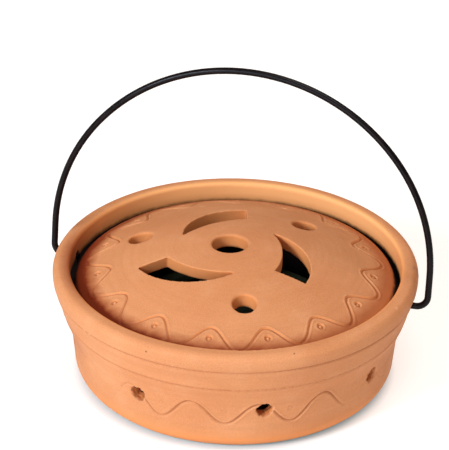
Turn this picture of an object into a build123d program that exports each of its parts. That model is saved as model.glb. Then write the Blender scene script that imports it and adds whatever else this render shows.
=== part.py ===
from build123d import *
import os
from math import atan2, cos, pi, radians, sin, sqrt

# Terracotta smoke bowl for a smouldering coil: a round bowl with a rolled lip, a domed lid
# that drops inside the lip, a wire bail handle, and a tin stand that carries the coil.
# Millimetres, +Z up, origin on the floor under the bowl's axis, -Y is the front.

# ---- driving dimensions ----
RIM_R = 82.5              # widest radius of the bowl, at its rolled lip
BOWL_H = 54.3             # floor to the top of the lip
LIP_ROLL = 3.7            # rounding of the lip's outer top
LIP_INNER_ROLL = 1.6
FOOT_R = 66.8             # flat underside
FOOT_EDGE = (70.4, 2.9)   # point on the rounded bottom edge
WALL_BASE = (72.7, 7.5)   # radius and height where the straight wall starts
WALL_TOP = (74.1, 21.7)   # radius and height where the flare starts
FLARE_MID = (75.9, 28.3)
COLLAR = (78.6, 34.9)     # lower incised line, where the flare ends
BAND_MID = (79.9, 40.3)
LIP = (81.8, 45.7)        # upper incised line, under the lip
LIP_MID = (82.35, 48.2)
LINE_W = 1.5              # width of an incised line
LINE_D = 0.6              # its depth

FLOOR_T = 7.0             # thickness of the bowl's floor
CAVITY_R = 66.0           # inside of the wall, just above the floor
CORNER_R = 6.0            # inside corner between the floor and the wall
SEAT_Z = 40.3             # ledge that carries the lid
SEAT_R = 68.2             # inner edge of the ledge
RECESS_R = 74.7           # wall round the lid

DRAUGHT_HOLES = 8
DRAUGHT_R = 3.6
DRAUGHT_Z = 22.0
DRAUGHT_PHASE = -79.5     # direction of the first draught hole, degrees from +X

LID_R = 72.9              # rim of the lid
LID_T = 6.6               # thickness of the dome
DOME_R = 160.0            # radius of its top
APEX_Z = 63.9             # top of the dome above the floor
SEAT_GAP = 0.1            # room between the lid's foot and the ledge
LID_EDGE_R = 4.8          # rounding of the lid's upper edge
VENT_CENTRE = (-2.8, 0.3)  # the vents are cut by hand, a little off the lid's axis
HUB_HOLE_R = 8.0
SMALL_HOLE_R = 5.3
SMALL_HOLE_PITCH_R = 43.5
SMALL_HOLE_PHASE = -81.0
SWIRL_STEP = 120          # degrees from one blade vent, or one small hole, to the next

# The blade-shaped vents seen from above, each turned back to the first one's direction and
# measured from the vents' centre: the sharp tip, the middle of the long outer curve, the blunt
# end's outer and inner corners, and the middle of the hollow inner curve.
BLADES = (
    ((19.3, 11.9), (34.9, -6.0), (33.7, -26.1), (20.2, -20.2), (23.8, -5.3)),
    ((19.3, 13.4), (34.0, -6.0), (31.4, -26.6), (19.3, -20.1), (22.2, -4.0)),
    ((18.3, 13.6), (35.0, -4.9), (31.8, -28.5), (20.8, -19.8), (24.0, -4.0)),
)
# Sideways run of each blade cut for every millimetre down: the knife leaned at the third.
BLADE_LEANS = ((0, 0), (0, 0), (-0.23, -0.19))
BLADE_Z = 60.0            # height of the lid's surface round the blades

WIRE_D = 3.0              # bail handle
BAIL_TURN = -14.5         # direction of the pivot axis, degrees from +X
BAIL_Z = 45.0             # height of the pivots
BAIL_LEAN = 8.5           # at rest the bail stands this far back from upright
BAIL_SHIFT = 1.2          # the wire sits this far along the pivot axis in its holes
BAIL_HALF_W = 87.05       # middle of the bail to the wire's centre line at the widest
BAIL_TOP = 98.4           # pivots to the top of the arch
BAIL_SPRING = 14.5        # height above the pivots where the arch begins
CROWN_R = 88.8            # radius of the arch's crown
HOOK_R = 5.2              # bend from the leg into the bowl's wall
WIRE_END_R = 75.2         # middle of the bail to each of the wire's ends
PIVOT_HOLE_D = 4.6

TIN_T = 0.6               # coil stand
STAND_R = 30.0
STAND_GAP = 0.1           # room between the stand and the bowl's floor
RIB_R = 26.0              # pressed stiffening ring
RIB_W = 4.0
RIB_H = 0.9
TONGUE_W = 9.0
TONGUE_H = 15.0           # floor of the stand to the shoulders that carry the coil
TIP_W = 2.6
TIP_H = 6.5
SLIT_GAP = 0.5            # how much wider the cut-out is than the tongue

COIL_T = 4.0              # smoking coil
COIL_W = 5.6
COIL_PITCH = 12.8         # from one turn to the next
HALF_TURNS = 8
COIL_START_R = 7.0        # radius of the first half turn
EYE_R = 8.0               # flat pad in the middle that the stand's tip enters
EYE_SLOT = (3.4, 1.4)
COIL_GAP = 0.1            # room between the coil and the shoulders


def on_circle(centre, radius, angle):
    return (centre[0] + radius * cos(angle), centre[1] + radius * sin(angle))


def revolved(edges):
    """Solid of revolution about Z from a closed outline of radius and height."""
    return revolve(make_face(Plane.XZ * Wire(edges)), axis=Axis.Z)


# ---- bowl ----
def corner(start, end, centre, radius, from_angle, to_angle):
    """Quarter-round from start to end, bulging away from its centre."""
    middle = on_circle(centre, radius, (from_angle + to_angle) / 2)
    return ThreePointArc(start, middle, end)


def bowl_body():
    lip_side = (RIM_R, BOWL_H - LIP_ROLL)
    lip_top = (RIM_R - LIP_ROLL, BOWL_H)
    lip_inner = (RECESS_R + LIP_INNER_ROLL, BOWL_H)
    recess_top = (RECESS_R, BOWL_H - LIP_INNER_ROLL)
    wall_foot = (CAVITY_R, FLOOR_T + CORNER_R)
    floor_edge = (CAVITY_R - CORNER_R, FLOOR_T)
    outer_roll_centre = (RIM_R - LIP_ROLL, BOWL_H - LIP_ROLL)
    inner_roll_centre = (RECESS_R + LIP_INNER_ROLL, BOWL_H - LIP_INNER_ROLL)
    cavity_corner_centre = (CAVITY_R - CORNER_R, FLOOR_T + CORNER_R)
    return revolved([
        Line((0, 0), (FOOT_R, 0)),
        ThreePointArc((FOOT_R, 0), FOOT_EDGE, WALL_BASE),
        Line(WALL_BASE, WALL_TOP),
        ThreePointArc(WALL_TOP, FLARE_MID, COLLAR),
        ThreePointArc(COLLAR, BAND_MID, LIP),
        ThreePointArc(LIP, LIP_MID, lip_side),
        corner(lip_side, lip_top, outer_roll_centre, LIP_ROLL, 0, pi / 2),
        Line(lip_top, lip_inner),
        corner(lip_inner, recess_top, inner_roll_centre, LIP_INNER_ROLL, pi / 2, pi),
        Line(recess_top, (RECESS_R, SEAT_Z)),
        Line((RECESS_R, SEAT_Z), (SEAT_R, SEAT_Z)),
        Line((SEAT_R, SEAT_Z), wall_foot),
        corner(wall_foot, floor_edge, cavity_corner_centre, CORNER_R, 0, -pi / 2),
        Line(floor_edge, (0, FLOOR_T)),
        Line((0, FLOOR_T), (0, 0)),
    ])


def incised_line(radius, z):
    """Round-bottomed line cut round the outside of the bowl."""
    cutter_r = (LINE_W ** 2 / 4 + LINE_D ** 2) / (2 * LINE_D)
    return revolve(Plane.XZ * Pos(radius + cutter_r - LINE_D, z) * Circle(cutter_r), axis=Axis.Z)


def radial_hole(radius, angle, z):
    """Straight hole through the wall, square to the bowl's axis."""
    outward = Vector(cos(radians(angle)), sin(radians(angle)), 0)
    start = Plane(origin=outward * (SEAT_R - 10) + Vector(0, 0, z), z_dir=outward)
    return extrude(start * Circle(radius), RIM_R - SEAT_R + 20)


def bowl():
    solid = bowl_body()
    solid -= incised_line(*COLLAR)
    solid -= incised_line(*LIP)
    for i in range(DRAUGHT_HOLES):
        solid -= radial_hole(DRAUGHT_R, DRAUGHT_PHASE + i * 360 / DRAUGHT_HOLES, DRAUGHT_Z)
    for side in (0, 180):
        solid -= radial_hole(PIVOT_HOLE_D / 2, BAIL_TURN + side, BAIL_Z)
    return solid


# ---- lid ----
def dome():
    dome_z = APEX_Z - DOME_R
    foot_z = SEAT_Z + SEAT_GAP
    under_r = DOME_R - LID_T
    under_foot_r = sqrt(under_r ** 2 - (foot_z - dome_z) ** 2)
    edge_r = LID_R - LID_EDGE_R
    edge_centre = (edge_r, dome_z + sqrt((DOME_R - LID_EDGE_R) ** 2 - edge_r ** 2))
    edge_angle = atan2(edge_centre[1] - dome_z, edge_centre[0])
    edge_start = on_circle((0, dome_z), DOME_R, edge_angle)
    edge_end = (LID_R, edge_centre[1])
    under_angle = atan2(foot_z - dome_z, under_foot_r)
    return revolved([
        ThreePointArc((0, APEX_Z), on_circle((0, dome_z), DOME_R, (edge_angle + pi / 2) / 2), edge_start),
        corner(edge_start, edge_end, edge_centre, LID_EDGE_R, edge_angle, 0),
        Line(edge_end, (LID_R, foot_z)),
        Line((LID_R, foot_z), (under_foot_r, foot_z)),
        ThreePointArc(
            (under_foot_r, foot_z),
            on_circle((0, dome_z), under_r, (under_angle + pi / 2) / 2),
            (0, APEX_Z - LID_T),
        ),
        Line((0, APEX_Z - LID_T), (0, APEX_Z)),
    ])


def blade_cutter(tip, outer_mid, outer_end, inner_end, inner_mid, lean):
    outline = make_face(Wire([
        ThreePointArc(tip, outer_mid, outer_end),
        Line(outer_end, inner_end),
        ThreePointArc(inner_end, inner_mid, tip),
    ]))
    return Pos(0, 0, BLADE_Z) * extrude(outline, APEX_Z - SEAT_Z, dir=(*lean, -1), both=True)


def lid():
    centre = Pos(*VENT_CENTRE)
    through = APEX_Z + 1
    drill = extrude(Circle(SMALL_HOLE_R), through)
    small_hole = Rot(0, 0, SMALL_HOLE_PHASE) * Pos(SMALL_HOLE_PITCH_R, 0) * drill
    solid = dome() - centre * extrude(Circle(HUB_HOLE_R), through)
    for i, (blade, lean) in enumerate(zip(BLADES, BLADE_LEANS)):
        turned = centre * Rot(0, 0, i * SWIRL_STEP)
        solid -= turned * blade_cutter(*blade, lean)
        solid -= turned * small_hole
    return solid


# ---- bail handle ----
def bail_arch():
    """Right half of the wire's centre line, from its end in the wall up to the crown."""
    rise = BAIL_SPRING - BAIL_TOP
    crown_to_spring = CROWN_R + rise
    shoulder_r = (CROWN_R ** 2 - BAIL_HALF_W ** 2 - crown_to_spring ** 2) / (2 * (CROWN_R - BAIL_HALF_W))
    crown_angle = atan2(BAIL_HALF_W - shoulder_r, crown_to_spring)
    crown_centre = (0, BAIL_TOP - CROWN_R)
    shoulder_centre = (BAIL_HALF_W - shoulder_r, BAIL_SPRING)
    hook_centre = (BAIL_HALF_W - HOOK_R, HOOK_R)
    shoulder_angle = pi / 2 - crown_angle
    shoulder_top = on_circle(crown_centre, CROWN_R, shoulder_angle)
    return [
        Line((WIRE_END_R, 0), (BAIL_HALF_W - HOOK_R, 0)),
        corner((BAIL_HALF_W - HOOK_R, 0), (BAIL_HALF_W, HOOK_R), hook_centre, HOOK_R, -pi / 2, 0),
        Line((BAIL_HALF_W, HOOK_R), (BAIL_HALF_W, BAIL_SPRING)),
        corner((BAIL_HALF_W, BAIL_SPRING), shoulder_top, shoulder_centre, shoulder_r, 0, shoulder_angle),
        corner(shoulder_top, (0, BAIL_TOP), crown_centre, CROWN_R, shoulder_angle, pi / 2),
    ]


def bail_handle():
    half = bail_arch()
    other_half = mirror(Wire(half), about=Plane.YZ).edges()
    path = Plane.XZ * Wire(half + list(other_half))
    section = Plane(origin=(WIRE_END_R, 0, 0), z_dir=(1, 0, 0)) * Circle(WIRE_D / 2)
    pivots = Pos(0, 0, BAIL_Z) * Rot(0, 0, BAIL_TURN)
    return pivots * Pos(BAIL_SHIFT, 0, 0) * Rot(-BAIL_LEAN, 0, 0) * sweep(section, path)


# ---- coil stand ----
def rib_arc(z):
    return ThreePointArc((RIB_R - RIB_W / 2, z), (RIB_R, z + RIB_H), (RIB_R + RIB_W / 2, z))


def tin_disc():
    """Thin round plate with a raised ring pressed near its edge."""
    inner = RIB_R - RIB_W / 2
    outer = RIB_R + RIB_W / 2
    return revolved([
        Line((0, TIN_T), (inner, TIN_T)),
        rib_arc(TIN_T),
        Line((outer, TIN_T), (STAND_R, TIN_T)),
        Line((STAND_R, TIN_T), (STAND_R, 0)),
        Line((STAND_R, 0), (outer, 0)),
        rib_arc(0),
        Line((inner, 0), (0, 0)),
        Line((0, 0), (0, TIN_T)),
    ])


def coil_stand():
    tongue_length = TONGUE_H + TIP_H
    slit_w = TONGUE_W + SLIT_GAP
    slit = Pos(0, -tongue_length / 2, 0) * Box(slit_w, tongue_length, 4 * TIN_T)
    tip_taper = TIP_W / 2 - 0.4
    outline = Polyline(
        (-TONGUE_W / 2, 0),
        (-TONGUE_W / 2, TONGUE_H),
        (-TIP_W / 2, TONGUE_H),
        (-TIP_W / 2, tongue_length - TIP_W / 2),
        (-TIP_W / 2 + tip_taper, tongue_length),
        (TIP_W / 2 - tip_taper, tongue_length),
        (TIP_W / 2, tongue_length - TIP_W / 2),
        (TIP_W / 2, TONGUE_H),
        (TONGUE_W / 2, TONGUE_H),
        (TONGUE_W / 2, 0),
        close=True,
    )
    tongue = extrude(Plane.XZ * make_face(outline), TIN_T / 2, both=True)
    plate = tin_disc() - slit
    return Pos(0, 0, FLOOR_T + STAND_GAP) * (plate + tongue)


# ---- smoking coil ----
def coil_path():
    """Spiral of half circles whose centres alternate, each wider than the last."""
    edges = []
    radius = COIL_START_R
    centre = 0.0
    side = 1
    for _ in range(HALF_TURNS):
        start = (centre + side * radius, 0)
        middle = (centre, side * radius)
        end = (centre - side * radius, 0)
        edges.append(ThreePointArc(start, middle, end))
        radius += COIL_PITCH / 2
        centre += side * COIL_PITCH / 2
        side = -side
    return Wire(edges)


def smoking_coil():
    path = coil_path()
    section = Plane(origin=path @ 0, z_dir=path % 0) * Rectangle(COIL_W, COIL_T)
    strip = sweep(section, path)
    eye = extrude(Circle(EYE_R), COIL_T / 2, both=True)
    slot = extrude(Rectangle(*EYE_SLOT), COIL_T, both=True)
    underside_z = FLOOR_T + STAND_GAP + TONGUE_H + COIL_GAP
    return Pos(0, 0, underside_z + COIL_T / 2) * (strip + eye - slot)


PARTS = {
    "bowl": bowl,
    "lid": lid,
    "bail_handle": bail_handle,
    "coil_stand": coil_stand,
    "smoking_coil": smoking_coil,
}

os.makedirs("parts", exist_ok=True)
for name, build in PARTS.items():
    export_step(build(), f"parts/{name}.step")
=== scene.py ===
from math import cos, pi, radians, sin

import bpy
import numpy as np
from mathutils import Matrix, Vector, noise


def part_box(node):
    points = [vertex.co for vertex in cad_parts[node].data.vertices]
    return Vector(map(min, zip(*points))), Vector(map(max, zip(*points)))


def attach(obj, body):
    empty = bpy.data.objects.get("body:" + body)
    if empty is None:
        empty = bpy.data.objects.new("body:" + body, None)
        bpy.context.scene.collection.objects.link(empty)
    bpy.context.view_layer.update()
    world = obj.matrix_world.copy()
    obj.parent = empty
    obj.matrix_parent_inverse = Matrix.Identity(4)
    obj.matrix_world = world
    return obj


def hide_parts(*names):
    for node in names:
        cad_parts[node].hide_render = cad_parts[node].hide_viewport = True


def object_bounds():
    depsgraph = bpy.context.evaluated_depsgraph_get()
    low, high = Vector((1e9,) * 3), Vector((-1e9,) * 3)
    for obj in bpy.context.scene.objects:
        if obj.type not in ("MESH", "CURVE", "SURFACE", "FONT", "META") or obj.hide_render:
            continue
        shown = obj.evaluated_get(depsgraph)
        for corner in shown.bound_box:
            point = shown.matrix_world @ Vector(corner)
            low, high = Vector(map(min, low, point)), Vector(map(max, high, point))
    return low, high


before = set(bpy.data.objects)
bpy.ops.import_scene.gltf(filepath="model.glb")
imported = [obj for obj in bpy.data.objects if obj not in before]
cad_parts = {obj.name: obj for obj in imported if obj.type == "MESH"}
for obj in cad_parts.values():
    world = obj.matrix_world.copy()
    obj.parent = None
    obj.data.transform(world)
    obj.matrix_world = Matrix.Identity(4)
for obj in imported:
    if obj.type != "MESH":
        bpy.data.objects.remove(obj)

# Looks of a terracotta smoke bowl: fired clay bowl and lid with incised decoration, a lacquered
# wire bail, a tin stand and a smouldering coil. The object's own sizes are in millimetres and
# MM turns them into the frame's metres. Angles start at +X, and -Y is the front.

MM = 0.001
cad_lo, cad_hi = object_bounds()


# ---- mesh tools ----
def apply_modifiers(piece):
    graph = bpy.context.evaluated_depsgraph_get()
    mesh = bpy.data.meshes.new_from_object(piece.evaluated_get(graph))
    old = piece.data
    piece.modifiers.clear()
    piece.data = mesh
    bpy.data.meshes.remove(old)


def link(name, mesh):
    piece = bpy.data.objects.new(name, mesh)
    bpy.context.scene.collection.objects.link(piece)
    return piece


def voxel_copy(node, name, voxel_mm):
    """An even, dense mesh of a CAD node, ready to be worked like clay."""
    piece = link(name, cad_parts[node].data.copy())
    piece.data.materials.clear()
    weld = piece.modifiers.new("weld", "WELD")
    weld.merge_threshold = 1e-6
    voxels = piece.modifiers.new("voxels", "REMESH")
    voxels.mode = "VOXEL"
    voxels.voxel_size = voxel_mm * MM
    apply_modifiers(piece)
    return piece


def thin_out(piece, triangles):
    """Drops triangles where the surface is smooth, and keeps them in the relief."""
    mesh = piece.data
    mesh.calc_loop_triangles()
    have = len(mesh.loop_triangles)
    if have > triangles:
        fewer = piece.modifiers.new("fewer", "DECIMATE")
        fewer.ratio = triangles / have
        apply_modifiers(piece)


def read(attribute, name, count, width):
    values = np.zeros(count * width, np.float32)
    attribute.foreach_get(name, values)
    return values.reshape(count, width).astype(float)


def points_of(mesh):
    return read(mesh.vertices, "co", len(mesh.vertices), 3) / MM


def normals_of(mesh):
    return read(mesh.vertex_normals, "vector", len(mesh.vertices), 3)


def set_points(mesh, points):
    mesh.vertices.foreach_set("co", (points * MM).astype(np.float32).ravel())
    mesh.update()


EVEN_OUT = (0.5, -0.52)
ROUND_OFF = (0.6,)


def smooth(mesh, rounds, steps=EVEN_OUT, share=1.0):
    """Moves each point towards its neighbours' middle. EVEN_OUT keeps the volume."""
    edges = np.zeros(len(mesh.edges) * 2, np.int32)
    mesh.edges.foreach_get("vertices", edges)
    a, b = edges.reshape(-1, 2).T
    points = points_of(mesh)
    n = len(points)
    degree = (np.bincount(a, minlength=n) + np.bincount(b, minlength=n))[:, None]
    share = np.broadcast_to(share, n)[:, None]
    for step in steps * rounds:
        around = np.column_stack([
            np.bincount(a, points[b, i], n) + np.bincount(b, points[a, i], n) for i in range(3)
        ])
        points += step * share * (around / degree - points)
    set_points(mesh, points)


def hold_inside(piece, node):
    """Brings any point that smoothing pushed out of the CAD node's box back to it."""
    lo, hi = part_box(node)
    set_points(piece.data, np.clip(points_of(piece.data), np.array(lo) / MM, np.array(hi) / MM))


def shade_smooth(mesh):
    mesh.polygons.foreach_set("use_smooth", np.ones(len(mesh.polygons), bool))


def lumps(points, size_mm, seed):
    """Smooth noise from -1 to 1 whose features are about size_mm across."""
    shift = Vector((seed, 2 * seed, 3 * seed))
    return np.array([noise.noise(Vector(p) / size_mm + shift) for p in points])


def polar(points):
    return np.hypot(points[:, 0], points[:, 1]), np.arctan2(points[:, 1], points[:, 0])


# ---- incised decoration: distances in mm, depth positive into the clay ----
LINE_HALF_W = 0.75
GROOVE_W = 0.62 * LINE_HALF_W
BURR_AT = 1.45 * LINE_HALF_W
BURR_W = 0.42
DOT_RING_R = 0.95
DOT_RING_W = 0.42
DOT_EDGE_R = 1.9
DOT_EDGE_W = 0.45
DOT_EDGE_SHARE = 0.2


def ridge(distance, middle, width):
    """A rounded hump of height 1 at a distance."""
    return np.exp(-((distance - middle) / width) ** 2)


def scratch(distance, depth, burr):
    """Profile of a line drawn in soft clay: a round groove with a slightly raised edge."""
    return depth * ridge(distance, 0, GROOVE_W) - burr * ridge(distance, BURR_AT, BURR_W)


def prick(distance, depth):
    """Profile of a dot pressed with a blunt hollow tool: a ring with a small boss in it."""
    edge = DOT_EDGE_SHARE * ridge(distance, DOT_EDGE_R, DOT_EDGE_W)
    return depth * (ridge(distance, DOT_RING_R, DOT_RING_W) - edge)


LID_WAVES = 15
LID_WAVE_R = 61.8
LID_WAVE_LEAN = 0.7         # the ring of waves sits this far towards the front
LID_WAVE_SWING = 5.2
LID_SWING_DRIFT = 0.3       # narrower on the right, wider on the left
LID_SWING_WOBBLE = 0.25
LID_WOBBLES = 7
LID_WAVE_PHASE = radians(-5.2)
LID_LINE = (0.75, 0.22)     # depth and burr
LID_DOT_R = 62.4
LID_DOT_DEPTH = 0.85
STRAY_ONCE = (-0.0035, -0.0093)     # cosine and sine parts, in radians
STRAY_TWICE = (-0.0045, 0.0077)


def uneven(angle):
    """How far round the hand strayed from even spacing on the lid."""
    once = STRAY_ONCE[0] * np.cos(angle) + STRAY_ONCE[1] * np.sin(angle)
    return once + STRAY_TWICE[0] * np.cos(2 * angle) + STRAY_TWICE[1] * np.sin(2 * angle)


def lid_relief(points, normals):
    r, angle = polar(points)
    wobble = LID_SWING_WOBBLE * np.sin(LID_WOBBLES * angle)
    swing = LID_WAVE_SWING - LID_SWING_DRIFT * np.cos(angle) + wobble
    turn = LID_WAVES * (angle - LID_WAVE_PHASE - uneven(angle))
    line_r = LID_WAVE_R - swing * np.cos(turn) - LID_WAVE_LEAN * np.sin(angle)
    slope = LID_WAVES * swing * np.sin(turn) / LID_WAVE_R
    depth = scratch(np.abs(r - line_r) / np.sqrt(1 + slope ** 2), *LID_LINE)
    for i in range(LID_WAVES):
        dot = LID_WAVE_PHASE + i * 2 * pi / LID_WAVES
        dot += uneven(dot)
        away = np.hypot(points[:, 0] - LID_DOT_R * cos(dot), points[:, 1] - LID_DOT_R * sin(dot))
        depth += prick(away, LID_DOT_DEPTH)
    facing_up = normals[:, 2] > 0.5
    return depth * facing_up


BOWL_WAVES = 16
BOWL_WAVE_Z = 20.2
BOWL_WAVE_SWING = 5.6
BOWL_WAVE_PHASE = radians(-81.6)
BOWL_STRAY = 0.01           # radians
BOWL_SWING_WOBBLE = 0.4
BOWL_WOBBLES = 5
BOWL_LINE = (0.62, 0.2)     # depth and burr
BOWL_DOT_Z = 21.6
BOWL_DOT_DEPTH = 0.2
DRAWN_BELOW_Z = 32
LIGHT_PRESS = 0.2           # share of the depth where the hand hardly pressed, at the two sides
PRESSED_FROM = 0.73         # sine of the angle at which the hand began to press
PRESSED_OVER = 0.1
WALL_R = 73.6
WALL_FROM_R = 70
INCISED_Z = (34.9, 45.7)
INCISED_SOFT_W = 1.0
INCISED_SINK = 0.05
INCISED_ROLL = 0.12         # the clay pushed up below each line
INCISED_ROLL_BELOW = 2.2


def bowl_relief(points, normals):
    r, angle = polar(points)
    height = points[:, 2]
    turn = BOWL_WAVES * (angle - BOWL_WAVE_PHASE + BOWL_STRAY * np.sin(2 * angle))
    swing = BOWL_WAVE_SWING + BOWL_SWING_WOBBLE * np.sin(BOWL_WOBBLES * angle)
    line_z = BOWL_WAVE_Z + swing * np.cos(turn)
    slope = BOWL_WAVES * swing * np.sin(turn) / WALL_R
    pressed = np.clip((np.abs(np.sin(angle)) - PRESSED_FROM) / PRESSED_OVER, 0, 1)
    press = LIGHT_PRESS + (1 - LIGHT_PRESS) * pressed
    depth = press * scratch(np.abs(height - line_z) / np.sqrt(1 + slope ** 2), *BOWL_LINE)
    for i in range(BOWL_WAVES):
        dot = BOWL_WAVE_PHASE + (i + 0.5) * 2 * pi / BOWL_WAVES
        side = WALL_R * np.angle(np.exp(1j * (angle - dot)))
        depth += press * prick(np.hypot(side, height - BOWL_DOT_Z), BOWL_DOT_DEPTH)
    depth *= height < DRAWN_BELOW_Z
    for z in INCISED_Z:
        depth += INCISED_SINK * ridge(height, z, INCISED_SOFT_W)
        depth -= INCISED_ROLL * ridge(height, z - INCISED_ROLL_BELOW, INCISED_SOFT_W)
    outward = (normals[:, 0] * points[:, 0] + normals[:, 1] * points[:, 1]) / r
    return depth * (outward > 0.6) * (r > WALL_FROM_R)


# ---- the CAD's own dimensions ----
VENT_CENTRE = (-2.8, 0.3)
HUB_HOLE_R = 8.0
SMALL_HOLE_R = 5.3
SMALL_HOLE_PITCH_R = 43.5
SMALL_HOLE_PHASE = radians(-81)
DOME_R = 160.0
LID_T = 6.6
APEX_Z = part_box("lid")[1].z / MM
DOME_Z = APEX_Z - DOME_R
SEAT_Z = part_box("lid")[0].z / MM
LID_R = 72.9
RECESS_R = 74.7
SEAT_R = 68.2
CAVITY_R = 66.0
FLOOR_T = 7.0
DRAUGHT_HOLES = 8
DRAUGHT_R = 3.6
DRAUGHT_Z = 22.0
DRAUGHT_PHASE = radians(-79.5)

# ---- work by hand: smoothed lips, torn holes and dents ----
LIP_SPREAD = 2.6            # how far from a hole's edge its lip was smoothed
TORN_W = 0.9                # how far from a draught hole's edge the clay is torn


def hole_lips(points):
    """How much of each finger-smoothed lip of the lid's round holes a point belongs to."""
    above = points[:, 2] - (DOME_Z + np.sqrt(DOME_R ** 2 - polar(points)[0] ** 2) - LIP_SPREAD)
    holes = [(*VENT_CENTRE, HUB_HOLE_R)]
    for i in range(3):
        turn = SMALL_HOLE_PHASE + i * 2 * pi / 3
        x = VENT_CENTRE[0] + SMALL_HOLE_PITCH_R * cos(turn)
        y = VENT_CENTRE[1] + SMALL_HOLE_PITCH_R * sin(turn)
        holes.append((x, y, SMALL_HOLE_R))
    share = np.zeros(len(points))
    for x, y, radius in holes:
        off = np.abs(np.hypot(points[:, 0] - x, points[:, 1] - y) - radius)
        share = np.maximum(share, 1 - off / LIP_SPREAD)
    return np.clip(share, 0, 1) * np.clip(above / LIP_SPREAD, 0, 1)


def draught_edges(points):
    """How close a point is to the torn inside of a draught hole, from 0 to 1."""
    r, angle = polar(points)
    step = 2 * pi / DRAUGHT_HOLES
    off = (angle - DRAUGHT_PHASE + step / 2) % step - step / 2
    away = np.hypot(r * np.sin(off), points[:, 2] - DRAUGHT_Z) - DRAUGHT_R
    return np.clip(1 - np.abs(away) / TORN_W, 0, 1) * (r > CAVITY_R - 2)


BROAD_DENTS = (0.06, 21.0)  # depth and size
SMALL_DENTS = (0.025, 3.5)


def dents(points, seed, depth, size):
    return depth * (1 + lumps(points, size, seed))


def work_clay(piece, relief, seed, keep_flat):
    """Draws the decoration and leaves the slight dents of hand work."""
    mesh = piece.data
    points, normals = points_of(mesh), normals_of(mesh)
    dented = dents(points, seed, *BROAD_DENTS) + dents(points, seed + 5, *SMALL_DENTS)
    depth = relief(points, normals) + dented * ~keep_flat(points, normals)
    set_points(mesh, points - normals * depth[:, None])
    shade_smooth(mesh)


# ---- materials ----
def rgba(r, g, b):
    return (r, g, b, 1.0)


class Shader:
    """A Principled material whose colour, roughness and bump are built node by node."""

    def __init__(self, name, **fixed):
        self.material = bpy.data.materials.new(name)
        self.material.use_nodes = True
        self.tree = self.material.node_tree
        self.surface = self.tree.nodes["Principled BSDF"]
        for socket, value in fixed.items():
            self.surface.inputs[socket.replace("_", " ")].default_value = value
        self.place = self.tree.nodes.new("ShaderNodeTexCoord").outputs["Object"]
        self.seed = Vector((0, 0, 0))

    def node(self, kind, inputs=None, **settings):
        made = self.tree.nodes.new("ShaderNode" + kind)
        for name, value in settings.items():
            setattr(made, name, value)
        for socket, value in (inputs or {}).items():
            if isinstance(value, bpy.types.NodeSocket):
                self.tree.links.new(value, made.inputs[socket])
            else:
                made.inputs[socket].default_value = value
        return made

    def grain(self, size_mm, detail=4.0, roughness=0.55, distortion=0.0):
        """Noise with features about size_mm across, from 0 to 1."""
        shifted = self.node("Mapping", {"Vector": self.place, "Location": self.seed})
        made = self.node("TexNoise", {
            "Vector": shifted.outputs["Vector"],
            "Scale": 1 / (size_mm * MM),
            "Detail": detail,
            "Roughness": roughness,
            "Distortion": distortion,
        })
        return made.outputs["Fac"]

    def radius_mm(self):
        flat = self.node("VectorMath", {0: self.place, 1: (1, 1, 0)}, operation="MULTIPLY")
        return self.length_mm(flat.outputs["Vector"])

    def height_mm(self):
        return self.maths("DIVIDE", self.node("SeparateXYZ", {0: self.place}).outputs["Z"], MM)

    def length_mm(self, vector):
        length = self.node("VectorMath", {0: vector}, operation="LENGTH")
        return self.maths("DIVIDE", length.outputs["Value"], MM)

    def upward(self):
        """1 where the surface is level and faces up, 0 where it is upright."""
        return self.node("SeparateXYZ", {0: self.node("NewGeometry").outputs["Normal"]}).outputs["Z"]

    def away_mm(self, point):
        """Distance from a point given in mm."""
        away = self.node("VectorMath", {0: self.place, 1: Vector(point) * MM}, operation="SUBTRACT")
        return self.length_mm(away.outputs["Vector"])

    def turning_marks(self, width_mm):
        """Noise drawn out round the Z axis, as a potter's wheel leaves it."""
        flat = self.node("VectorMath", {0: self.place, 1: (1, 1, 0)}, operation="MULTIPLY")
        facing = self.node("VectorMath", {0: flat.outputs["Vector"]}, operation="NORMALIZE")
        part = self.node("SeparateXYZ", {0: facing.outputs["Vector"]})
        across = self.maths("DIVIDE", self.radius_mm(), width_mm)
        up = self.maths("DIVIDE", self.height_mm(), width_mm)
        place = self.node("CombineXYZ", {0: across, 1: up, 2: part.outputs["X"]})
        made = self.node("TexNoise", {
            "Vector": place.outputs["Vector"],
            "W": part.outputs["Y"],
            "Scale": 1.0,
            "Detail": 3.0,
            "Roughness": 0.6,
        }, noise_dimensions="4D")
        return made.outputs["Fac"]

    def spread(self, value, low, high, to_low=0.0, to_high=1.0):
        made = self.node("MapRange", {
            "Value": value, "From Min": low, "From Max": high, "To Min": to_low, "To Max": to_high,
        })
        return made.outputs["Result"]

    def mix(self, share, a, b, blend="MIX"):
        made = self.node("Mix", data_type="RGBA", blend_type=blend)
        for socket, value in (("Factor_Float", share), ("A_Color", a), ("B_Color", b)):
            target = next(s for s in made.inputs if s.identifier == socket)
            if isinstance(value, bpy.types.NodeSocket):
                self.tree.links.new(value, target)
            else:
                target.default_value = value
        return next(s for s in made.outputs if s.identifier == "Result_Color")

    def maths(self, operation, a, b=0.0):
        made = self.node("Math", {0: a, 1: b}, operation=operation)
        return made.outputs["Value"]

    def both(self, a, b):
        return self.maths("MULTIPLY", a, b)

    def either(self, a, b):
        return self.maths("MAXIMUM", a, b)

    def ragged(self, distance_mm, by_mm=0.9):
        """The distance with an uneven edge to it."""
        uneven_mm = self.spread(self.grain(5, detail=5), 0.3, 0.7, -by_mm, by_mm)
        return self.maths("ADD", distance_mm, uneven_mm)

    def bump(self, height, depth_mm, under=None):
        inputs = {"Height": height, "Strength": 1.0, "Distance": depth_mm * MM}
        if under is not None:
            inputs["Normal"] = under
        return self.node("Bump", inputs).outputs["Normal"]

    def plug(self, socket, value):
        self.tree.links.new(value, self.surface.inputs[socket])


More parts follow.
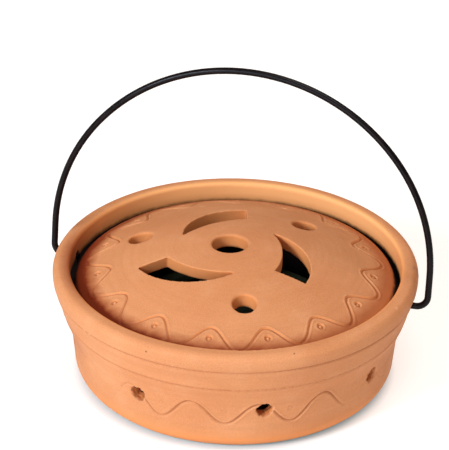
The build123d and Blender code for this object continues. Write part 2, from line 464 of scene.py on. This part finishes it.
# Colours of the clay, linear.
CLAY_DULL = rgba(0.575, 0.216, 0.084)
CLAY_WARM = rgba(0.635, 0.258, 0.108)
BLUSH = rgba(0.70, 0.34, 0.175)
WHEEL_MARK = rgba(0.46, 0.15, 0.052)
SPECKLE = rgba(0.33, 0.10, 0.035)
# Worn edges, partly a painted edge highlight.
WORN_AND_LIT_EDGE = rgba(0.78, 0.42, 0.22)
# Painted shade in hollows.
HOLLOW_SHADE = rgba(0.25, 0.065, 0.022)
PIT = rgba(0.10, 0.03, 0.015)
SCORCH = rgba(0.16, 0.05, 0.04)
BARE = rgba(0.72, 0.245, 0.072)
# Painted highlight at the back of the recess.
PAINTED_HIGHLIGHT = rgba(0.90, 0.44, 0.17)
# Painted shade and shadow, with some smoke bloom on the lid's rim.
STAIN_AND_SHADE = rgba(0.19, 0.019, 0.002)
# Soot, and painted shade in the cavity and the gap round the lid.
SOOT_AND_SHADE = rgba(0.008, 0.0035, 0.003)

# Marks of making and use: pinholes (x, y, z, radius) and a scorched spot outside the lip. Painted
# light: a patch of painted shade inside the lip, the point where the painted shadow on the lid's rim
# is strongest, and the direction of the side of the recess that gets a painted highlight.
RIM_PITS = ((25.3, -76.5, 53.2, 0.75), (-38.0, -73.0, 51.0, 0.5), (52.0, -61.5, 52.5, 0.5))
LIP_SCORCH = (82.3, -3.0, 50.5)
LIP_SHADE_PATCH = (-76.0, -4.0, 53.0)
SHADOW_AND_BLOOM_MOST = (-60.0, -43.0, 47.0)
HIGHLIGHT_SIDE = (0.26, 0.966, 0.0)


def terracotta(name, seed, bare, stain_and_shade, soot, pits=(), scorch=None, highlight=None):
    """Unglazed clay. bare says where it has no pale bloom; the stain mask where smoke bloom and painted
    shade brown it; the soot mask where soot and painted shade blacken it; and the optional last mask
    where a painted highlight makes it paler.
    """
    clay = Shader(name, IOR=1.45, Specular_IOR_Level=0.22)
    clay.seed = Vector((seed, 0.3 * seed, 0.7 * seed))

    clouds = clay.spread(clay.grain(38, detail=3, distortion=0.6), 0.32, 0.7)
    colour = clay.mix(clouds, CLAY_DULL, CLAY_WARM)
    blush = clay.spread(clay.grain(15, detail=5, roughness=0.6), 0.52, 0.78)
    colour = clay.mix(clay.both(blush, 0.3), colour, BLUSH)
    marks = clay.turning_marks(2.2)
    colour = clay.mix(clay.spread(marks, 0.35, 0.7, 0.0, 0.22), colour, WHEEL_MARK)
    speckle = clay.spread(clay.grain(0.9, detail=2, roughness=0.7), 0.66, 0.74)
    colour = clay.mix(clay.both(speckle, 0.3), colour, SPECKLE)
    grit = clay.spread(clay.grain(0.45, detail=2), 0.36, 0.62, 0.9, 1.05)
    shade = clay.node("CombineColor", {0: grit, 1: grit, 2: grit}).outputs[0]
    colour = clay.mix(1.0, colour, shade, "MULTIPLY")

    point = clay.node("NewGeometry").outputs["Pointiness"]
    # Convex edges lighter: worn edges, partly a painted edge highlight.
    worn_and_lit = clay.spread(point, 0.525, 0.58)
    colour = clay.mix(clay.both(worn_and_lit, 0.3), colour, WORN_AND_LIT_EDGE)
    # Hollows darker: painted shade.
    hollow = clay.spread(point, 0.49, 0.44)
    colour = clay.mix(clay.both(hollow, 0.55), colour, HOLLOW_SHADE)

    for x, y, z, radius in pits:
        pit = clay.spread(clay.away_mm((x, y, z)), 0.5 * radius, radius, 0.85, 0.0)
        colour = clay.mix(pit, colour, PIT)
    if scorch is not None:
        blurred = clay.spread(clay.grain(2.5), 0.3, 0.7, -1.6, 1.6)
        edge = clay.maths("ADD", clay.away_mm(scorch), blurred)
        colour = clay.mix(clay.spread(edge, 1.0, 5.5, 0.6, 0.0), colour, SCORCH)
    colour = clay.mix(bare(clay), colour, BARE)
    # Painted highlight, where one is given.
    if highlight is not None:
        colour = clay.mix(highlight(clay), colour, PAINTED_HIGHLIGHT)
    # Painted shade and shadow, with smoke bloom.
    colour = clay.mix(stain_and_shade(clay), colour, STAIN_AND_SHADE)
    # Soot, and painted shade in the cavity and the gap round the lid.
    sooted_and_shaded = soot(clay)
    colour = clay.mix(sooted_and_shaded, colour, SOOT_AND_SHADE)
    clay.plug("Base Color", colour)
    worn = clay.spread(clay.grain(6, detail=4), 0.3, 0.7, 0.62, 0.85)
    clay.plug("Roughness", clay.either(worn, sooted_and_shaded))

    rough = clay.bump(marks, 0.09)
    rough = clay.bump(clay.grain(4.5, detail=6, roughness=0.62), 0.09, rough)
    rough = clay.bump(clay.grain(0.7, detail=3, roughness=0.7), 0.05, rough)
    clay.plug("Normal", rough)
    return clay.material


def bare_in_bowl(shader):
    """The wall of the lid's recess, and the draught holes' own walls."""
    radius, height = shader.radius_mm(), shader.height_mm()
    recess_side = shader.spread(radius, RECESS_R + 0.3, RECESS_R + 2.2, 0.9, 0.0)
    recess = shader.both(recess_side, shader.spread(height, SEAT_Z - 1, SEAT_Z + 1))
    within_wall = shader.spread(radius, WALL_R - 1.6, WALL_R - 0.6, 0.8, 0.0)
    hole = shader.both(within_wall, shader.spread(height, SEAT_Z - 3, SEAT_Z - 5))
    return shader.either(recess, hole)


def highlight_in_bowl(shader):
    """The back of the recess above the lid, painted paler as a highlight."""
    recess_side = shader.spread(shader.radius_mm(), RECESS_R + 0.6, RECESS_R + 3.4, 0.75, 0.0)
    recess = shader.both(recess_side, shader.spread(shader.height_mm(), SEAT_Z + 3, SEAT_Z + 9))
    towards = shader.node("VectorMath", {0: shader.place, 1: HIGHLIGHT_SIDE}, operation="DOT_PRODUCT")
    side_mm = shader.maths("DIVIDE", towards.outputs["Value"], MM)
    # The painted highlight fades in towards the back.
    return shader.both(recess, shader.spread(side_mm, 5.0, 60.0))


def shade_on_bowl(shader):
    """Painted shade in the two incised lines and in a patch inside the lip at the left."""
    radius, height = shader.radius_mm(), shader.height_mm()
    # Painted shade in a patch inside the lip at the left.
    inside = shader.spread(radius, RECESS_R + 1.0, RECESS_R + 5.5, 0.65, 0.0)
    patch = shader.both(shader.spread(shader.away_mm(LIP_SHADE_PATCH), 16.0, 46.0, 1.0, 0.0), inside)
    from_line = [shader.maths("ABSOLUTE", shader.maths("SUBTRACT", height, z)) for z in INCISED_Z]
    # Painted shade along the two incised lines.
    lines = shader.either(*[shader.spread(away, 0.2, 1.3, 0.12, 0.0) for away in from_line])
    outside = shader.spread(radius, RECESS_R + 2.4, RECESS_R + 2.8)
    return shader.either(patch, shader.both(lines, outside))


def soot_and_shade_in_bowl(shader):
    """All of the cavity, and the wall beside the lid in the gap that smoke leaks through: soot, and
    painted shade.
    """
    radius, height = shader.radius_mm(), shader.height_mm()
    past_wall = shader.maths("SUBTRACT", shader.ragged(radius), SEAT_R)
    under_floor = shader.maths("SUBTRACT", FLOOR_T - 0.6, height)
    over_seat = shader.maths("SUBTRACT", height, SEAT_Z)
    outside = shader.either(past_wall, shader.either(under_floor, over_seat))
    cavity = shader.spread(outside, -0.6, 0.6, 0.995, 0.0)
    # Painted shade, with soot, on the wall beside the lid.
    beside_lid = shader.spread(shader.maths("SUBTRACT", radius, RECESS_R), 0.4, 1.2, 0.99, 0.0)
    below_rim = shader.spread(shader.ragged(height, 0.4), SEAT_Z + 3.9, SEAT_Z + 6.3, 1.0, 0.0)
    over_floor = shader.spread(height, SEAT_Z - 3.0, SEAT_Z - 1.0)
    return shader.either(cavity, shader.both(shader.both(beside_lid, below_rim), over_floor))


def to_lid_rim(shader):
    return shader.maths("SUBTRACT", LID_R, shader.ragged(shader.radius_mm(), 0.8))


def bare_walls_and_shaded_rim(shader):
    """The cut walls of the holes and vents, and a band along the rim painted in the deeper orange of
    shade.
    """
    walls = shader.spread(shader.upward(), 0.78, 0.35, 0.0, 0.8)
    # The band along the rim is painted shade, in the deeper orange of the shaded rounding.
    return shader.either(walls, shader.spread(to_lid_rim(shader), 3.0, 9.5, 0.85, 0.0))


def bloom_and_shadow_on_lid(shader):
    """A brown band along the rim: painted shadow of the lip, strongest at the front left, with smoke
    bloom all round.
    """
    # Painted shadow of the lip, strongest at the front left.
    shadow_strength = shader.spread(shader.away_mm(SHADOW_AND_BLOOM_MOST), 66.0, 125.0, 1.0, 0.55)
    return shader.both(shader.spread(to_lid_rim(shader), 5.0, 10.5, 0.97, 0.0), shadow_strength)


def soot_and_shade_on_lid(shader):
    """Black under the dome and down its side, in the gap that smoke leaks through: soot, and painted
    shade.
    """
    over_underside = shader.maths("SUBTRACT", shader.away_mm((0, 0, DOME_Z)), DOME_R - LID_T)
    under = shader.spread(shader.ragged(over_underside, 0.5), -0.6, 1.2, 0.995, 0.0)
    # Painted shade, with soot, down the lid's side in the gap.
    ragged_radius = shader.ragged(shader.radius_mm(), 0.3)
    side = shader.spread(ragged_radius, LID_R - 1.9, LID_R - 0.7, 0.0, 0.99)
    return shader.either(under, side)


def lacquered_wire():
    wire = Shader("lacquered_wire", IOR=1.45, Specular_IOR_Level=0.14)
    worn = wire.spread(wire.grain(7, detail=4), 0.45, 0.75)
    wire.plug("Base Color", wire.mix(worn, rgba(0.004, 0.002, 0.0025), rgba(0.011, 0.006, 0.006)))
    wire.plug("Roughness", wire.spread(wire.grain(2.5, detail=5), 0.3, 0.7, 0.22, 0.4))
    wire.plug("Normal", wire.bump(wire.grain(1.3, detail=3), 0.03))
    return wire.material


def tin_plate():
    tin = Shader("tin_plate", Metallic=1.0)
    soot = tin.spread(tin.grain(12, detail=5), 0.45, 0.72)
    colour = tin.mix(soot, rgba(0.62, 0.6, 0.57), rgba(0.2, 0.14, 0.09))
    tin.plug("Base Color", colour)
    tin.plug("Roughness", tin.spread(soot, 0, 1, 0.28, 0.7))
    tin.plug("Normal", tin.bump(tin.grain(0.6, detail=2), 0.02))
    return tin.material


def pressed_coil():
    paste = Shader("pressed_coil", Roughness=0.9)
    chips = paste.grain(0.9, detail=4, roughness=0.7)
    pale = paste.spread(chips, 0.35, 0.65)
    colour = paste.mix(pale, rgba(0.012, 0.018, 0.008), rgba(0.035, 0.05, 0.022))
    paste.plug("Base Color", colour)
    paste.plug("Normal", paste.bump(chips, 0.12))
    return paste.material


def dress(piece, material):
    piece.data.materials.clear()
    piece.data.materials.append(material)


# ---- pieces ----
BOWL_VOXEL = 0.5
LID_VOXEL = 0.42
COIL_VOXEL = 0.45
CLAY_TRIANGLES = 190_000
COIL_TRIANGLES = 60_000
TEAR = 0.55                 # most that a draught hole's wall is torn in or out
CRUMB = 0.12                # half the depth of the deepest crumb lost from the coil


def voxel(fine_mm):
    return fine_mm


def clay_bowl():
    piece = voxel_copy("bowl", "clay_bowl", voxel(BOWL_VOXEL))

    def keep_flat(points, normals):
        r, _ = polar(points)
        foot = points[:, 2] < 1.0
        seat = (np.abs(points[:, 2] - SEAT_Z) < 1.0) & (r < RECESS_R + 0.8)
        return foot | seat

    mesh = piece.data
    smooth(mesh, 3)
    points = points_of(mesh)
    edges = draught_edges(points)
    smooth(mesh, 6, ROUND_OFF, 0.8 * edges)
    torn = edges * TEAR * lumps(points, 1.5, 31.0)
    set_points(mesh, points_of(mesh) - normals_of(mesh) * torn[:, None])
    work_clay(piece, bowl_relief, 3.0, keep_flat)
    thin_out(piece, CLAY_TRIANGLES)
    hold_inside(piece, "bowl")
    clay = terracotta("terracotta_bowl", 0.0, bare_in_bowl, shade_on_bowl, soot_and_shade_in_bowl,
                      pits=RIM_PITS, scorch=LIP_SCORCH, highlight=highlight_in_bowl)
    dress(piece, clay)
    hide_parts("bowl")
    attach(piece, "bowl")


def clay_lid():
    piece = voxel_copy("lid", "clay_lid", voxel(LID_VOXEL))

    def keep_flat(points, normals):
        return (points[:, 2] < SEAT_Z + 1.2) & (normals[:, 2] < 0)

    mesh = piece.data
    smooth(mesh, 3)
    smooth(mesh, 14, ROUND_OFF, hole_lips(points_of(mesh)))
    work_clay(piece, lid_relief, 11.0, keep_flat)
    thin_out(piece, CLAY_TRIANGLES)
    hold_inside(piece, "lid")
    dress(piece, terracotta("terracotta_lid", 0.37, bare_walls_and_shaded_rim, bloom_and_shadow_on_lid, soot_and_shade_on_lid))
    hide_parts("lid")
    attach(piece, "lid")


def burnt_coil():
    piece = voxel_copy("smoking_coil", "pressed_smoke_coil", voxel(COIL_VOXEL))
    mesh = piece.data
    smooth(mesh, 4)
    points, normals = points_of(mesh), normals_of(mesh)
    crumbs = CRUMB * (1 + lumps(points, 1.4, 21.0))
    set_points(mesh, points - normals * crumbs[:, None])
    shade_smooth(mesh)
    thin_out(piece, COIL_TRIANGLES)
    hold_inside(piece, "smoking_coil")
    dress(piece, pressed_coil())
    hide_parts("smoking_coil")
    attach(piece, "coil")


clay_bowl()
clay_lid()
burnt_coil()
dress(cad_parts["bail_handle"], lacquered_wire())
dress(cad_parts["coil_stand"], tin_plate())


# ---- studio ----
FLOOR_HALF = 3000.0
FLOOR_Z = -0.2              # just under the foot, so that the two don't share a plane
FOOT_R = 66.8
CONTACT_SHADOW_W = 7.5             # width of the dim band round the foot


def studio_floor():
    mesh = bpy.data.meshes.new("floor")
    corners = [(-1, -1), (1, -1), (1, 1), (-1, 1)]
    points = [Vector((x * FLOOR_HALF, y * FLOOR_HALF, FLOOR_Z)) * MM for x, y in corners]
    mesh.from_pydata(points, [], [(0, 1, 2, 3)])
    floor = link("floor", mesh)
    paper = Shader("white_paper", Roughness=0.9, Specular_IOR_Level=0.1, Emission_Strength=0.66)
    paper.plug("Base Color", paper.mix(paper.grain(40), rgba(0.50, 0.50, 0.50), rgba(0.53, 0.53, 0.53)))
    # Painted contact shadow: the floor's glow is dimmed and cooled in a band round the foot.
    past_painted_shadow = paper.spread(paper.radius_mm(), FOOT_R, FOOT_R + CONTACT_SHADOW_W)
    paper.plug("Emission Color", paper.mix(past_painted_shadow, rgba(0.05, 0.215, 0.255), rgba(1.0, 0.94, 0.89)))
    dress(floor, paper.material)


def area_light(name, azimuth, elevation, distance, size, power, colour):
    """Square lamp, placed in metres and aimed a third of the way up the object."""
    lamp = bpy.data.lights.new(name, "AREA")
    lamp.size = size
    lamp.energy = power
    lamp.color = colour
    holder = bpy.data.objects.new(name, lamp)
    bpy.context.scene.collection.objects.link(holder)
    a, e = radians(azimuth), radians(elevation)
    away = Vector((cos(a) * cos(e), sin(a) * cos(e), sin(e)))
    aim = Vector((0, 0, (cad_lo.z + cad_hi.z) / 3))
    holder.location = aim + away * distance
    holder.rotation_mode = "QUATERNION"
    holder.rotation_quaternion = (-away).to_track_quat("-Z", "Y")


def sky(brightness, colour):
    world = bpy.data.worlds.new("studio_room")
    world.use_nodes = True
    background = world.node_tree.nodes["Background"]
    background.inputs["Color"].default_value = rgba(*colour)
    background.inputs["Strength"].default_value = brightness
    bpy.context.scene.world = world


studio_floor()
sky(0.20, (1.0, 0.84, 0.70))
area_light("key", -139, 29, distance=2.0, size=0.5, power=31.0, colour=(0.95, 1.12, 1.28))
area_light("front", -108, 14, distance=1.4, size=0.7, power=6.2, colour=(0.93, 1.16, 1.38))
area_light("top", -50, 74, distance=1.4, size=0.7, power=10.8, colour=(1.0, 0.96, 0.90))
area_light("back", 72, 36, distance=1.4, size=0.5, power=2.6, colour=(1.0, 1.0, 1.0))

# The photograph's view: place in mm, tilt and roll in degrees, focal length for a 36 mm frame.
CAMERA_AT = (-5.33, -1100.8, 685.6)
CAMERA_TILT = 29.095
CAMERA_ROLL = 0.995
CAMERA_LENS = 225.4


def camera():
    lens = bpy.data.cameras.new("camera")
    lens.lens = CAMERA_LENS
    lens.sensor_width = 36.0
    lens.clip_start, lens.clip_end = 0.05, 20.0
    holder = bpy.data.objects.new("camera", lens)
    bpy.context.scene.collection.objects.link(holder)
    tilt = Matrix.Rotation(radians(90 - CAMERA_TILT), 4, "X")
    roll = Matrix.Rotation(radians(CAMERA_ROLL), 4, "Z")
    holder.matrix_world = Matrix.Translation(Vector(CAMERA_AT) * MM) @ tilt @ roll
    bpy.context.scene.camera = holder


camera()
bpy.context.scene.view_settings.view_transform = "Standard"
